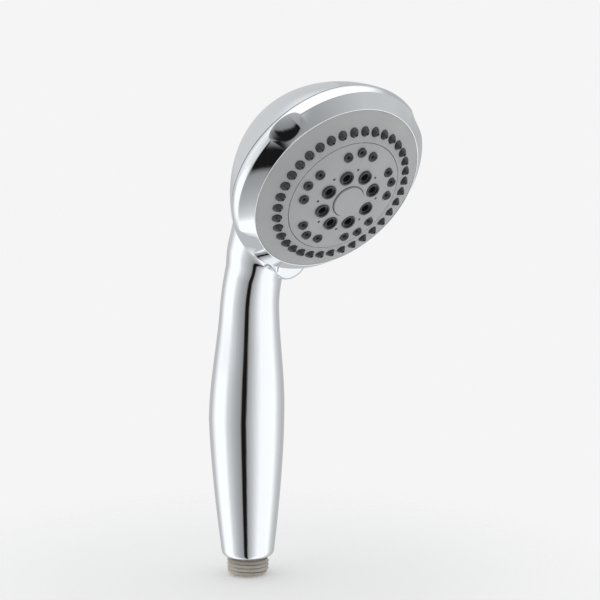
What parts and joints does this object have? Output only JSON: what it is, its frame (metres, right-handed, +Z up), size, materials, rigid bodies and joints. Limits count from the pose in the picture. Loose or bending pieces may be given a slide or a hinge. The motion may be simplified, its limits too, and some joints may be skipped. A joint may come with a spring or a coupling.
{
  "type": "handheld shower head",
  "caption": "Handheld shower head with a curved handle, a threaded inlet and a round head whose selector ring turns the spray face.",
  "frame": {"origin": "centre of the inlet's end face, where the hose washer seats", "axes": "+Z up the handle, -Y the way the spray leaves, +X to the right as seen facing the spray face"},
  "size_m": [0.1016, 0.1229, 0.2519],
  "materials": {
    "chrome": "polished",
    "satin_grey": "satin",
    "dark_rubber": "matte",
    "inlet_grey": "satin",
    "white_plastic": "satin",
    "steel": "brushed",
    "turbine_plastic": "semi-gloss"
  },
  "bodies": {
    "handle_body": {"handle_shell": "chrome", "back_shell": "chrome", "inlet_nipple": "inlet_grey", "filter_screen": "steel", "flow_restrictor": "white_plastic", "inlet_o_ring": "dark_rubber", "waterway_tube": "white_plastic", "lower_o_ring": "dark_rubber", "upper_o_ring": "dark_rubber", "valve_body": "white_plastic", "hub_o_ring": "dark_rubber", "valve_seal": "dark_rubber", "seal_spring": "steel", "body_screws": "steel", "centre_screw": "steel", "centre_washer": "steel", "detent_spring": "steel"},
    "spray_face": {"selector_ring": "chrome", "face_plate": "satin_grey", "inner_disc": "satin_grey", "centre_cap": "satin_grey", "outer_nozzle_mat": "dark_rubber", "inner_nozzle_mat": "dark_rubber", "massage_jets": "dark_rubber", "chamber_plate": "white_plastic", "diverter_disc": "white_plastic", "turbine_guide": "white_plastic"},
    "turbine_rotor": {"turbine": "turbine_plastic"},
    "detent": {"detent_plunger": "steel"}
  },
  "joints": [
    {"name": "selector_turn", "type": "hinge", "parent": "handle_body", "child": "spray_face", "pos_m": [0, -0.08878, 0.19621], "axis": [0, -0.8508, -0.5255], "range_deg": [-72, 72]},
    {"name": "turbine_spin", "type": "hinge", "parent": "spray_face", "child": "turbine_rotor", "pos_m": [0, -0.08878, 0.19621], "axis": [0, -0.8508, -0.5255], "continuous": true},
    {"name": "detent_press", "type": "slide", "parent": "handle_body", "child": "detent", "axis": [0, 0.8508, 0.5255], "range_m": [0, 0.0008], "stiffness_N_per_m": 600, "springref_m": -0.002, "deforming": ["detent_spring"]}
  ]
}
